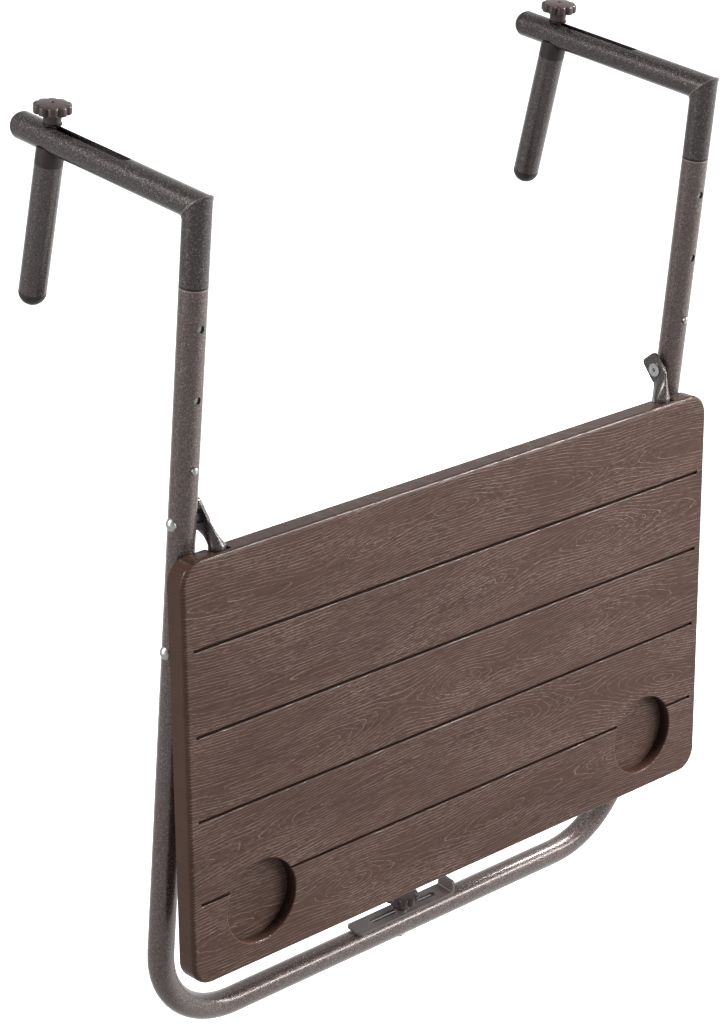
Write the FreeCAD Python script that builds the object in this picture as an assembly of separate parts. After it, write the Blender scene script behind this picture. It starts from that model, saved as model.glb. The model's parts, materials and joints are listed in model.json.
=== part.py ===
import FreeCAD, Part
import math
import os

# A bar table that hangs on a balcony rail, drawn with its top folded down against its legs.
# X runs along the rail, Y points over the rail and away from the user, and Z is up.
# The origin is the rail's inner top corner, midway between the two hooks: the hooks rest on
# Z = 0 and the legs' rail side lies on Y = 0. Lengths are millimetres and angles degrees.

# Main tube, shared by the legs, the hooks and the clamping posts.
tube_d = 25.0
tube_wall = 1.5
joint_drop = 69.0
joint_gap = 0.3
cross_drop = 808.0
bend_radius = 90.0

# Hooks.
hook_reach = 233.0
weld_height = 0.5
weld_width = 2.6
slot_inset = 40.0
post_travel = 100.0
slot_gap = 0.3

# Height setting: a sleeve with a spring button slides inside each leg.
setting_hole_d = 7.0
first_setting_drop = 103.0
setting_pitch = 63.5
setting_count = 3
sleeve_gap = 0.3
sleeve_wall = 1.5
sleeve_tail = 32.0
sleeve_grip = 24.0
button_gap = 0.3
button_stand = 3.0
button_dome = 1.4
flange_d = 9.0
flange_t = 1.0
flange_gap = 0.2
spring_width = 8.0
spring_t = 0.7
spring_bend = 6.0
spring_lead = 6.0
spring_tail = 24.0
spring_gap = 0.05

# Moulded plugs in the tube ends.
cap_band = 1.0
cap_dome = 10.0
plug_band = 2.0
plug_dome = 11.0
plug_spigot = 15.0
plug_wall = 2.0

# Clamping posts, each on a moulded saddle under its hook.
post_length = 159.6
post_lean = 8.5
collar_drop = 23.0
horn_drop = 6.5
saddle_gap = 0.3
saddle_spigot = 20.0
stud_d = 8.0
stud_head_width = 13.0
stud_head_t = 5.3
stud_head_drop = 17.0
stud_entry = 13.0
washer_d = 17.0
washer_t = 1.5
washer_gap = 0.3

# Lobed hand knobs.
knob_d = 34.0
knob_rim = 7.5
knob_crown = 1.3
knob_edge = 1.5
knob_underedge = 0.8
knob_lobes = 10
flute_r = 3.0
flute_depth = 1.8
hub_foot_d = 15.2
hub_neck_d = 16.4
hub_height = 9.0
core_d = 27.2
core_depth = 4.5
dimple_d = 5.2
dimple_depth = 0.9
insert_d = 12.0
insert_length = 9.0
thread_gap = 0.05
blind_gap = 0.3
blind_depth = 14.0
knob_gap = 0.1

# Table top: a moulded panel with five planks, two cup recesses and a skirt.
panel_width = 664.0
panel_depth = 404.0
leg_inset = 25.0
panel_t = 20.0
panel_corner = 22.0
panel_edge = 4.0
sheet_t = 5.0
skirt_wall = 4.0
plank_count = 5
groove_width = 3.0
groove_depth = 2.5
groove_bevel = 0.6
groove_inset = 10.5
cup_d = 80.0
cup_depth = 12.0
cup_floor = 4.0
cup_wall = 4.0
cup_lip = 1.5
cup_side_inset = 80.5
cup_front_inset = 60.5
rib_t = 3.0
rib_drop = 2.4
rib_pitch = 125.0
rib_clearance = 0.8

# Folding linkage: the pivots' heights, where the top's pivot lies from the panel, and the tilt
# that the panel keeps from plumb when it hangs.
upper_pivot_drop = 282.0
lower_pivot_drop = 405.0
pivot_behind = 26.7
pivot_below = 28.4
hang_tilt = 6.6
stop_gap = 0.3
relief_margin = 1.5

# Folding tubes and their flattened ends.
bar_d = 16.0
bar_wall = 1.2
plate_t = 3.0
plate_width = 20.0
plate_nose = 15.0
plate_run = 9.0
plate_taper = 6.0
plate_corner = 4.5
arm_angle = 38.4
arm_entry = 3.0
bar_depth = 14.0
crossbar_run = 263.0
frame_corner = 50.0
arm_notch_gap = 1.3
brace_length = 193.0
brace_inset = 23.5
brace_corner = 40.0
crank_start = 26.0
crank_end = 66.0
crank_bend = 25.0
flat_angle = 70.0

# Pivot rivets and the spacers between legs and plates.
rivet_d = 6.0
rivet_gap = 0.08
rivet_head_d = 12.0
rivet_head_dome = 3.5
rivet_head_sink = 1.8
rivet_tail_d = 13.0
rivet_tail_t = 1.6
rivet_bore_d = 4.0
rivet_bore_depth = 3.0
pivot_spacer_d = 12.0
pivot_spacer_t = 5.0
pivot_side_gap = 0.1

# Straps that hold the sub-frame to the panel, and the catches for the brace.
strap_t = 1.8
strap_width = 16.0
strap_foot = 13.0
strap_side_run = 60.0
strap_far_run = 185.0
strap_cross_x = 120.0
screw_d = 3.5
screw_head_d = 7.4
screw_head_t = 2.4
screw_bite = 4.4
catch_depth = 16.0
catch_x = 150.0
catch_width = 24.0
catch_gap = 0.3
catch_wall = 3.5
catch_foot_t = 3.0
catch_foot_run = 15.0
catch_lip = 6.0
catch_throat = 2.6

# Wall spacer on the cross tube: a slotted plate with an upturned ear, under a knob.
spacer_back = 63.0
spacer_front = 64.0
spacer_width = 21.0
spacer_t = 3.0
spacer_corner = 4.0
spacer_lift = 0.6
ear_height = 12.0
ear_bend = 3.0
slot_back = 40.0
slot_front = 46.0
bolt_d = 6.0
bolt_slot_gap = 0.3
bolt_hole_gap = 0.1
bolt_head_d = 14.0
bolt_head_dome = 3.5
bolt_head_sink = 2.4
spacer_washer_d = 16.0

# Extra length by which a cutter passes through what it cuts, and the slack in picking edges.
through = 1.0
near = 0.01

# Places and sizes that follow from the driving dimensions.
vector = FreeCAD.Vector
origin = vector(0, 0, 0)
along_x = vector(1, 0, 0)
along_y = vector(0, 1, 0)
up = vector(0, 0, 1)
full_turn = 360.0
half_turn = full_turn / 2
quarter_turn = full_turn / 4
hexagon = 6
sides = {"left": -1, "right": 1}

tube_r = tube_d / 2
bore_r = tube_r - tube_wall
leg_x = panel_width / 2 - leg_inset
leg_y = -tube_r
hook_z = tube_r
leg_top_z = hook_z - joint_drop
cross_z = hook_z - cross_drop
upper_pivot_z = hook_z - upper_pivot_drop
lower_pivot_z = hook_z - lower_pivot_drop
setting_heights = [hook_z - first_setting_drop - step * setting_pitch for step in range(setting_count)]
button_z = setting_heights[-1]

sleeve_r = bore_r - sleeve_gap
sleeve_bore_r = sleeve_r - sleeve_wall
button_r = setting_hole_d / 2 - button_gap
flange_front = math.sqrt(sleeve_bore_r ** 2 - (flange_d / 2) ** 2) - flange_gap
flange_back = flange_front - flange_t

post_y = leg_y + hook_reach - slot_inset
stud_r = stud_d / 2
slot_width = stud_d + 2 * slot_gap
washer_z = hook_z + tube_r + washer_gap
post_knob_z = washer_z + washer_t + knob_gap
lean = vector(0, math.sin(math.radians(post_lean)), -math.cos(math.radians(post_lean)))
post_tube_length = post_length - plug_band - plug_dome

bar_r = bar_d / 2
rivet_hole_r = rivet_d / 2 + rivet_gap
plate_outer_x = leg_x - tube_r - pivot_spacer_t
bar_x = plate_outer_x - bar_r
plank_width = panel_depth / plank_count
fold_angle = quarter_turn - hang_tilt

# Panel places are given as x, run (from the rear edge to the front) and depth (below the top
# face). The panel and all on it are drawn level and then folded down about the upper pivot.
rear_y = leg_y - pivot_behind
face_z = upper_pivot_z + pivot_below
rib_depth = sheet_t + rib_drop
tilt = math.radians(hang_tilt)
stop_depth = pivot_below + (pivot_behind * math.sin(tilt) - tube_r - stop_gap) / math.cos(tilt)
lower_pivot_depth = pivot_below + lower_pivot_drop - upper_pivot_drop
catch_reach = math.sqrt(brace_length ** 2 - (lower_pivot_depth - catch_depth) ** 2)
catch_run = catch_reach - pivot_behind
brace_angle = half_turn - math.degrees(math.atan2(catch_reach, lower_pivot_depth - catch_depth))
swing_ratio = brace_angle / fold_angle

bolt_r = bolt_d / 2
spacer_z = cross_z + tube_r + spacer_lift
spacer_washer_z = spacer_z + spacer_t
spacer_knob_z = spacer_washer_z + washer_t + knob_gap


def on_panel(x, run, depth):
    """Point of the level panel."""
    return vector(x, rear_y - run, face_z - depth)


def folded(shape):
    """Shape of the level panel, folded down into its hanging place."""
    turned_down = shape.copy()
    turned_down.rotate(vector(0, leg_y, upper_pivot_z), along_x, fold_angle)
    return turned_down


def mirrored(shape):
    """Copy of a shape on the other side of the middle plane."""
    return shape.mirror(origin, along_x)


def pair(shape):
    """A piece and its mirror image, as one group of solids."""
    return Part.makeCompound([shape, mirrored(shape)])


def rod(radius, start, end):
    """Solid cylinder from one point to another."""
    axis = end - start
    return Part.makeCylinder(radius, axis.Length, start, axis)


def block(low, high):
    """Box between two opposite corners, given in any order."""
    least = vector(min(low.x, high.x), min(low.y, high.y), min(low.z, high.z))
    most = vector(max(low.x, high.x), max(low.y, high.y), max(low.z, high.z))
    size = most - least
    return Part.makeBox(size.x, size.y, size.z, least)


def runs_along(edge, axis):
    """True for an edge that runs along an axis, either way."""
    return edge.tangentAt(edge.FirstParameter).cross(axis).Length < near


def joined(shapes):
    """One solid from several that meet."""
    return shapes[0].multiFuse(shapes[1:]).removeSplitter()


def rounded_path(points, radii):
    """Wire of straight runs joined by tangent arcs, with one radius for each inner point."""
    edges = []
    start = points[0]
    for before, corner, after, radius in zip(points, points[1:], points[2:], radii):
        back = (before - corner).normalize()
        ahead = (after - corner).normalize()
        half = back.getAngle(ahead) / 2
        inward = (back + ahead).normalize()
        first = corner + back * (radius / math.tan(half))
        last = corner + ahead * (radius / math.tan(half))
        middle = corner + inward * (radius / math.sin(half) - radius)
        edges.append(Part.LineSegment(start, first).toShape())
        edges.append(Part.Arc(first, middle, last).toShape())
        start = last
    edges.append(Part.LineSegment(start, points[-1]).toShape())
    return Part.Wire(edges)


def round_bar(path, radius):
    """Round bar along a smooth path."""
    first = path.OrderedEdges[0]
    start = path.OrderedVertexes[0].Point
    ring = Part.Wire(Part.makeCircle(radius, start, first.tangentAt(first.FirstParameter)))
    return path.makePipeShell([ring], True, False)


def line(start, end):
    """Straight edge of an outline given as radius and height."""
    return Part.LineSegment(vector(start[0], 0, start[1]), vector(end[0], 0, end[1])).toShape()


def lines(points):
    """Straight edges of an outline through several points."""
    return [line(start, end) for start, end in zip(points, points[1:])]


def dome_arc(edge_radius, edge_height, rise, end_radius=0.0):
    """Arc of a shallow dome over an outline's edge, in to a smaller radius."""
    sphere = (edge_radius ** 2 + rise ** 2) / (2 * rise)
    centre = edge_height + rise - sphere
    widest = math.atan2(edge_radius, edge_height - centre)
    least = math.asin(end_radius / sphere)
    points = []
    for angle in (widest, (widest + least) / 2, least):
        points.append(vector(sphere * math.sin(angle), 0, centre + sphere * math.cos(angle)))
    return Part.Arc(*points).toShape()


def corner_arc(start, end):
    """Quarter-round edge that bulges outwards from start up and in to end."""
    radius = start[0] - end[0]
    turn = math.sqrt(0.5)
    middle = vector(end[0] + radius * turn, 0, start[1] + radius * turn)
    return Part.Arc(vector(start[0], 0, start[1]), middle, vector(end[0], 0, end[1])).toShape()


def turned(edges, base, axis):
    """Solid of revolution of a closed outline, stood on a point along an axis."""
    solid = Part.Face(Part.Wire(edges)).revolve(origin, up, full_turn)
    solid.Placement = FreeCAD.Placement(base, FreeCAD.Rotation(up, axis))
    return solid


def ring(outer, inner, height, base, axis):
    """Flat ring such as a washer."""
    corners = [(inner, 0), (outer, 0), (outer, height), (inner, height), (inner, 0)]
    return turned(lines(corners), base, axis)


def upright_slot(start, end, width, height):
    """Round-ended upright bar that cuts a slot, centred on the level of its two ends."""
    half = up * (height / 2)
    across = (end - start).cross(up).normalize() * (width / 2)
    corners = [start + across, end + across, end - across, start - across, start + across]
    web = Part.Face(Part.makePolygon([point - half for point in corners])).extrude(half * 2)
    ends = [rod(width / 2, point - half, point + half) for point in (start, end)]
    return web.fuse(ends)


# U frame: two legs and the cross tube, bent from one length of tube.

def bolt_hole():
    low = vector(0, leg_y, cross_z - tube_d)
    return rod(bolt_r + bolt_hole_gap, low, low + up * (tube_d * 2))


def u_frame():
    corners = [
        vector(-leg_x, leg_y, leg_top_z),
        vector(-leg_x, leg_y, cross_z),
        vector(leg_x, leg_y, cross_z),
        vector(leg_x, leg_y, leg_top_z),
    ]
    path = rounded_path(corners, [bend_radius, bend_radius])
    tube = round_bar(path, tube_r).cut(round_bar(path, bore_r))
    holes = [bolt_hole()]
    for side in sides.values():
        x = side * leg_x
        for z in setting_heights:
            holes.append(rod(setting_hole_d / 2, vector(x, leg_y, z), vector(x, leg_y - tube_d, z)))
        for z in (upper_pivot_z, lower_pivot_z):
            holes.append(rod(rivet_hole_r, vector(x - tube_d, leg_y, z), vector(x + tube_d, leg_y, z)))
    return tube.cut(holes)


# Hooks: two lengths of tube mitred to a square corner, slotted for the clamping post.

def mitre_slab(x, low, high):
    """Slab between two distances from the mitre plane, which holds the corner and the X direction."""
    reach = joint_drop + tube_d
    slab = block(vector(x - reach, -reach, low), vector(x + reach, reach, high))
    slab.rotate(origin, along_x, -quarter_turn / 2)
    slab.translate(vector(0, leg_y, hook_z))
    return slab


def mitred_bar(x, radius):
    """Solid bar of the hook's two lengths, each cut off on the mitre plane."""
    corner = vector(x, leg_y, hook_z)
    arm = rod(radius, corner - along_y * tube_d, vector(x, leg_y + hook_reach, hook_z))
    stub = rod(radius, corner + up * tube_d, vector(x, leg_y, leg_top_z + joint_gap))
    outside = mitre_slab(x, -joint_drop - tube_d, 0)
    return arm.cut(outside).fuse(stub.common(outside)).removeSplitter()


def hook(x):
    seam = mitre_slab(x, -weld_width / 2, weld_width / 2)
    weld = mitred_bar(x, tube_r + weld_height).common(seam)
    body = mitred_bar(x, tube_r).fuse(weld).cut(mitred_bar(x, bore_r))
    far_end = vector(x, post_y, hook_z)
    near_end = vector(x, post_y - post_travel, hook_z)
    return body.cut(upright_slot(near_end, far_end, slot_width, tube_d * 2))


def hook_sleeve(x):
    foot_z = button_z - sleeve_tail
    shoulder = leg_top_z + joint_gap - foot_z
    head = shoulder + sleeve_grip
    outline = [(sleeve_bore_r, 0), (sleeve_r, 0), (sleeve_r, shoulder), (bore_r, shoulder + sleeve_gap)]
    outline += [(bore_r, head), (sleeve_bore_r, head), (sleeve_bore_r, 0)]
    sleeve = turned(lines(outline), vector(x, leg_y, foot_z), up)
    hole = rod(setting_hole_d / 2, vector(x, leg_y, button_z), vector(x, leg_y - tube_d, button_z))
    return sleeve.cut(hole)


def lock_button(x):
    height = tube_r + button_stand - flange_back
    shoulder = height - button_dome
    outline = [(0, 0), (flange_d / 2, 0), (flange_d / 2, flange_t), (button_r, flange_t)]
    outline.append((button_r, shoulder))
    edges = lines(outline)
    edges.append(dome_arc(button_r, shoulder, button_dome))
    edges.append(line((0, height), (0, 0)))
    return turned(edges, vector(x, leg_y - flange_back, button_z), -along_y)


def clip_spring(x):
    """Leaf spring bent to a hairpin, with one leg behind the button and one on the sleeve."""
    front_y = leg_y - flange_back + spring_gap + spring_t / 2
    back_room = math.sqrt(sleeve_bore_r ** 2 - (spring_width / 2) ** 2)
    back_y = leg_y + back_room - spring_gap - spring_t / 2
    top_z = button_z + spring_lead
    foot_z = button_z - spring_tail
    points = [vector(x, front_y, top_z), vector(x, front_y, foot_z)]
    points += [vector(x, back_y, foot_z), vector(x, back_y, top_z)]
    path = rounded_path(points, [spring_bend, spring_bend])
    half_width = along_x * (spring_width / 2)
    half_t = along_y * (spring_t / 2)
    corners = [half_width + half_t, half_t - half_width, -half_width - half_t, half_width - half_t]
    section = Part.makePolygon([points[0] + offset for offset in corners + corners[:1]])
    return path.makePipeShell([section], True, False)


# Moulded plugs for the ends of the hooks and posts.

def end_plug(base, axis, band, dome):
    cup_r = bore_r - plug_wall
    outline = [(0, 0), (cup_r, 0), (cup_r, -plug_spigot), (bore_r, -plug_spigot), (bore_r, 0)]
    outline += [(tube_r, 0), (tube_r, band)]
    edges = lines(outline)
    edges.append(dome_arc(tube_r, band, dome))
    edges.append(line((0, band + dome), (0, 0)))
    return turned(edges, base, axis)


def hook_cap(x):
    return end_plug(vector(x, leg_y + hook_reach, hook_z), along_y, cap_band, cap_dome)


# Clamping posts.

def post_axis_point(x, distance):
    """Point on the leaning post's axis, measured down from the hook's axis."""
    return vector(x, post_y, hook_z) + lean * distance


def post_stud(x):
    head_top = hook_z - stud_head_drop
    centre = vector(x, post_y, head_top - stud_head_t)
    reach = stud_head_width / 2 / math.cos(math.pi / hexagon)
    angles = [2 * math.pi * step / hexagon for step in range(hexagon)]
    corners = [centre + vector(math.cos(angle), math.sin(angle), 0) * reach for angle in angles]
    head = Part.Face(Part.makePolygon(corners + corners[:1])).extrude(up * stud_head_t)
    tip = vector(x, post_y, post_knob_z + stud_entry)
    return head.fuse(rod(stud_r, vector(x, post_y, head_top), tip))


def post_saddle(x):
    """Moulded saddle that cups the hook from below and turns the post off plumb."""
    collar_end = post_axis_point(x, collar_drop)
    body = rod(tube_r, post_axis_point(x, 0), collar_end)
    spigot = rod(bore_r, collar_end, post_axis_point(x, collar_drop + saddle_spigot))
    cup = rod(tube_r + saddle_gap, vector(x, post_y - tube_d, hook_z), vector(x, post_y + tube_d, hook_z))
    low = vector(x - tube_d, post_y - tube_d, hook_z - horn_drop)
    above = block(low, vector(x + tube_d, post_y + tube_d, hook_z + tube_d))
    return body.fuse(spigot).cut([cup, above, post_stud(x)])


def post_tube(x):
    top = post_axis_point(x, collar_drop)
    end = post_axis_point(x, post_tube_length)
    return rod(tube_r, top, end).cut(rod(bore_r, top, end))


def post_plug(x):
    return end_plug(post_axis_point(x, post_tube_length), lean, plug_band, plug_dome)


def post_washer(x):
    return ring(washer_d / 2, stud_r + slot_gap, washer_t, vector(x, post_y, washer_z), up)


# Lobed knobs: a domed head with flutes, cored from below around a tapering hub.

def knob_insert(base, thread_r):
    return ring(insert_d / 2, thread_r + thread_gap, insert_length, base, up)


def knob_blank(base):
    head_r = knob_d / 2
    rim_top = hub_height + knob_rim
    outline = [(0, 0), (hub_foot_d / 2, 0), (hub_neck_d / 2, hub_height)]
    outline += [(hub_neck_d / 2, hub_height + core_depth), (core_d / 2, hub_height + core_depth)]
    outline += [(core_d / 2, hub_height), (head_r - knob_underedge, hub_height)]
    outline += [(head_r, hub_height + knob_underedge), (head_r, rim_top - knob_edge)]
    edges = lines(outline)
    edges.append(corner_arc((head_r, rim_top - knob_edge), (head_r - knob_edge, rim_top)))
    crown = dome_arc(head_r - knob_edge, rim_top, knob_crown, dimple_d / 2)
    crown_end = (crown.Vertexes[-1].X, crown.Vertexes[-1].Z)
    floor = (0, rim_top + knob_crown - dimple_depth)
    edges += [crown, line(crown_end, floor), line(floor, (0, 0))]
    return turned(edges, base, up)


def knob(base, thread_r):
    flute_reach = knob_d / 2 - flute_depth + flute_r
    cuts = [rod(insert_d / 2, base, base + up * insert_length)]
    cuts.append(rod(thread_r + blind_gap, base, base + up * blind_depth))
    top = hub_height + knob_rim + knob_crown + through
    for lobe in range(knob_lobes):
        angle = math.radians(full_turn / knob_lobes * lobe)
        foot = base + vector(math.cos(angle), math.sin(angle), 0) * flute_reach
        cuts.append(rod(flute_r, foot, foot + up * top))
    return knob_blank(base).cut(cuts)


# Flattened tube ends, drawn for the right side with the tube leading off along a direction in
# the YZ plane, and the round bars between them.

def led_off(shape, pivot, direction):
    """Shape drawn with its tube leading straight up from the origin, put on its pivot."""
    angle = math.degrees(math.atan2(-direction.y, direction.z))
    shape.rotate(origin, along_x, angle)
    shape.translate(pivot)
    return shape


def stadium_wire(x, z):
    """Section of the flattened tube: two flats joined by round edges."""
    half_t = plate_t / 2
    flat = plate_width / 2 - half_t
    inner = x - half_t
    outer = x + half_t
    return Part.Wire([
        Part.LineSegment(vector(outer, -flat, z), vector(outer, flat, z)).toShape(),
        Part.Arc(vector(outer, flat, z), vector(x, flat + half_t, z), vector(inner, flat, z)).toShape(),
        Part.LineSegment(vector(inner, flat, z), vector(inner, -flat, z)).toShape(),
        Part.Arc(vector(inner, -flat, z), vector(x, -flat - half_t, z), vector(outer, -flat, z)).toShape(),
    ])


def round_wire(x, z):
    """Section of the round tube, in four arcs that answer the flattened section's edges."""
    def point(degrees):
        angle = math.radians(degrees)
        return vector(x + bar_r * math.cos(angle), bar_r * math.sin(angle), z)
    far_side = half_turn - flat_angle
    stops = (-flat_angle, flat_angle, far_side, half_turn + flat_angle, full_turn - flat_angle)
    arcs = []
    for start, end in zip(stops, stops[1:]):
        arcs.append(Part.Arc(point(start), point((start + end) / 2), point(end)).toShape())
    return Part.Wire(arcs)


def flattened_end(pivot, direction):
    """Pressed-flat tube end with its pivot hole."""
    half_width = plate_width / 2
    plate = block(
        vector(plate_outer_x - plate_t, -half_width, -plate_nose),
        vector(plate_outer_x, half_width, plate_run),
    )
    nose = [edge for edge in plate.Edges if edge.CenterOfMass.z < near - plate_nose
            and runs_along(edge, along_x)]
    plate = plate.makeFillet(plate_corner, nose)
    hole = rod(rivet_hole_r, vector(plate_outer_x - tube_d, 0, 0), vector(plate_outer_x + tube_d, 0, 0))
    return led_off(plate.cut(hole), pivot, direction)


def pressed_taper(pivot, direction, start, heading):
    """Taper from the flattened end to the round tube, which starts on its own heading."""
    flat = led_off(stadium_wire(plate_outer_x - plate_t / 2, plate_run), pivot, direction)
    full = led_off(round_wire(bar_x, 0), vector(0, start.y, start.z), heading)
    return Part.makeLoft([flat, full], True, True)


def looped_bar(half_points, half_radii, radius):
    """Round bar through the right side's points and on through their mirror images."""
    left_points = [vector(-point.x, point.y, point.z) for point in reversed(half_points)]
    path = rounded_path(half_points + left_points, half_radii + half_radii[::-1])
    return round_bar(path, radius)


def folding_loop(pivot, direction, half_points, half_radii):
    """Hollow U of folding tube with a flattened end on each side."""
    bar = looped_bar(half_points, half_radii, bar_r)
    bore = looped_bar(half_points, half_radii, bar_r - bar_wall)
    start, after = half_points[:2]
    taper = pressed_taper(pivot, direction, start, after - start)
    end = flattened_end(pivot, direction).fuse(taper)
    return bar.multiFuse([end, mirrored(end)]).cut(bore)


# Sub-frame under the panel.

def arm_direction():
    angle = math.radians(arm_angle)
    return vector(0, -math.cos(angle), math.sin(angle))


def panel_bar_points():
    return [on_panel(bar_x, -arm_entry, bar_depth), on_panel(bar_x, crossbar_run, bar_depth)]


def panel_frame():
    pivot = vector(0, leg_y, upper_pivot_z)
    loop = folding_loop(pivot, arm_direction(), panel_bar_points(), [frame_corner])
    return folded(loop)


# Support brace, drawn hanging straight down from the lower pivots.

def support_brace():
    pivot = vector(0, leg_y, lower_pivot_z)
    tucked_x = bar_x - brace_inset
    points = [
        vector(bar_x, leg_y, lower_pivot_z - plate_run - plate_taper),
        vector(bar_x, leg_y, lower_pivot_z - crank_start),
        vector(tucked_x, leg_y, lower_pivot_z - crank_end),
        vector(tucked_x, leg_y, lower_pivot_z - brace_length),
    ]
    return folding_loop(pivot, -up, points, [crank_bend, crank_bend, brace_corner])


# Rivets and spacers at the pivots.

def rivet(z):
    """Right-hand rivet: a domed head outside the leg and a rolled tubular tail inside."""
    head_r = rivet_head_d / 2
    shank = rivet_d / 2
    tail_face = plate_outer_x - plate_t - pivot_side_gap
    length = leg_x + tube_r - tail_face
    tail_r = rivet_tail_d / 2
    bore_r = rivet_bore_d / 2
    tip = -rivet_tail_t
    outline = [(bore_r, tip), (tail_r, tip), (tail_r, 0), (shank, 0), (shank, length - rivet_head_sink)]
    outline += [(head_r, length - rivet_head_sink), (head_r, length)]
    edges = lines(outline)
    edges.append(dome_arc(head_r, length, rivet_head_dome))
    bore_end = tip + rivet_bore_depth
    edges += lines([(0, length + rivet_head_dome), (0, bore_end), (bore_r, bore_end), (bore_r, tip)])
    body = turned(edges, vector(tail_face, leg_y, z), along_x)
    return body.cut(leg_shell(z))


def leg_shell(z):
    """The leg's wall around a pivot, without its hole, to seat pieces on its round side."""
    low = vector(leg_x, leg_y, z - tube_d)
    high = vector(leg_x, leg_y, z + tube_d)
    hole = rod(rivet_hole_r, vector(leg_x - tube_d, leg_y, z), vector(leg_x + tube_d, leg_y, z))
    return rod(tube_r, low, high).cut(hole)


def pivot_spacer(z):
    base = vector(plate_outer_x + pivot_side_gap, leg_y, z)
    bush = ring(pivot_spacer_d / 2, rivet_hole_r, pivot_spacer_t + pivot_spacer_d / 2, base, along_x)
    return bush.cut(leg_shell(z)).common(block(
        vector(plate_outer_x, leg_y - tube_r, z - tube_r),
        vector(leg_x - tube_r + rivet_head_sink, leg_y + tube_r, z + tube_r),
    ))


# Table top.

def panel_block(x_from, x_to, run_from, run_to, depth_from, depth_to):
    return block(on_panel(x_from, run_from, depth_from), on_panel(x_to, run_to, depth_to))


def rounded_slab(inset, depth_from, depth_to):
    """Slab of the panel's outline, drawn in by an inset, with round corners."""
    half = panel_width / 2 - inset
    slab = panel_block(-half, half, inset, panel_depth - inset, depth_from, depth_to)
    corners = [edge for edge in slab.Edges if runs_along(edge, up)]
    return slab.makeFillet(panel_corner - inset, corners)


def panel_shell():
    """Panel with its rolled edge and the hollow inside its skirt."""
    slab = rounded_slab(0, 0, panel_t)
    rim = [edge for edge in slab.Edges if abs(edge.CenterOfMass.z - face_z) < near]
    hollow = rounded_slab(skirt_wall, sheet_t, panel_t + through)
    return slab.makeFillet(panel_edge, rim).cut(hollow)


def cup_centre(side):
    return on_panel(side * (panel_width / 2 - cup_side_inset), panel_depth - cup_front_inset, 0)


def cup_bosses():
    wall_r = cup_d / 2 + cup_wall
    drop = up * (cup_depth + cup_floor)
    start = up * (sheet_t / 2)
    return [rod(wall_r, cup_centre(side) - start, cup_centre(side) - drop) for side in sides.values()]


def cup_recess(side):
    """Cup recess with a rounded lip, as the solid that it takes away."""
    radius = cup_d / 2
    turn = cup_lip * (1 - math.sqrt(0.5))
    lip_middle = vector(radius + turn, 0, -turn)
    lip = Part.Arc(vector(radius + cup_lip, 0, 0), lip_middle, vector(radius, 0, -cup_lip)).toShape()
    edges = lines([(0, -cup_depth), (0, through), (radius + cup_lip, through), (radius + cup_lip, 0)])
    edges.append(lip)
    edges += lines([(radius, -cup_lip), (radius, -cup_depth), (0, -cup_depth)])
    return turned(edges, cup_centre(side), up)


def ribs():
    """Shallow ribs: one under the middle of each plank and three from rear to front."""
    reach = panel_width / 2 - skirt_wall / 2
    bars = []
    for plank in range(plank_count):
        run = (plank + 0.5) * plank_width
        bars.append(panel_block(-reach, reach, run - rib_t / 2, run + rib_t / 2, sheet_t / 2, rib_depth))
    for column in (-1, 0, 1):
        x = column * rib_pitch
        far = panel_depth - skirt_wall / 2
        bars.append(panel_block(x - rib_t / 2, x + rib_t / 2, skirt_wall / 2, far, sheet_t / 2, rib_depth))
    return bars


def pads():
    """Pads that the straps and the catches stand on, as deep as the ribs."""
    half = strap_width / 2
    reach = bar_r + strap_foot
    feet = catch_foot_span()
    low = []
    for side in sides.values():
        for run in (strap_side_run, strap_far_run):
            x = side * bar_x
            low.append(panel_block(x - reach, x + reach, run - half, run + half, sheet_t / 2, rib_depth))
        x = side * strap_cross_x
        first = crossbar_run - reach
        last = crossbar_run + reach
        low.append(panel_block(x - half, x + half, first, last, sheet_t / 2, rib_depth))
        x = side * catch_x
        wide = catch_width / 2
        low.append(panel_block(x - wide, x + wide, feet[0], catch_run + bar_r, sheet_t / 2, rib_depth))
    return low


def grooves():
    """Bevelled grooves between the planks."""
    half = groove_width / 2
    reach = panel_width / 2 - groove_inset
    cutters = []
    for joint in range(1, plank_count):
        run = joint * plank_width
        profile = [
            (run - half - groove_bevel - through, -through),
            (run - half, groove_bevel),
            (run - half, groove_depth),
            (run + half, groove_depth),
            (run + half, groove_bevel),
            (run + half + groove_bevel + through, -through),
        ]
        corners = [on_panel(-reach, across, depth) for across, depth in profile + profile[:1]]
        cutters.append(Part.Face(Part.makePolygon(corners)).extrude(along_x * (reach * 2)))
    return cutters


def skirt_notches():
    """Rear skirt cut back where it stops on the legs, and deeper where the sub-frame's arms pass."""
    leg_side = tube_r + relief_margin
    arm_half = bar_r + arm_notch_gap
    arm_top = bar_depth - bar_r - arm_notch_gap / 2
    low = panel_t + through
    cutters = []
    for side in sides.values():
        inner = side * (bar_x - arm_half)
        outer = side * (leg_x + leg_side)
        cutters.append(panel_block(inner, outer, -through, skirt_wall + through, stop_depth, low))
        near = side * (bar_x - arm_half)
        far = side * (bar_x + arm_half)
        cutters.append(panel_block(near, far, -through, skirt_wall + through, arm_top, low))
    return cutters


def table_top():
    channel = looped_bar(panel_bar_points(), [frame_corner], bar_r + rib_clearance)
    stiffeners = joined(ribs() + pads()).cut(channel)
    body = panel_shell().multiFuse([stiffeners] + cup_bosses())
    cutters = [cup_recess(side) for side in sides.values()] + grooves() + skirt_notches()
    cutters += strap_screws_level() + catch_screws_level()
    return folded(body.cut(cutters))


# Straps over the sub-frame's tube, each with two screws.

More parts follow.
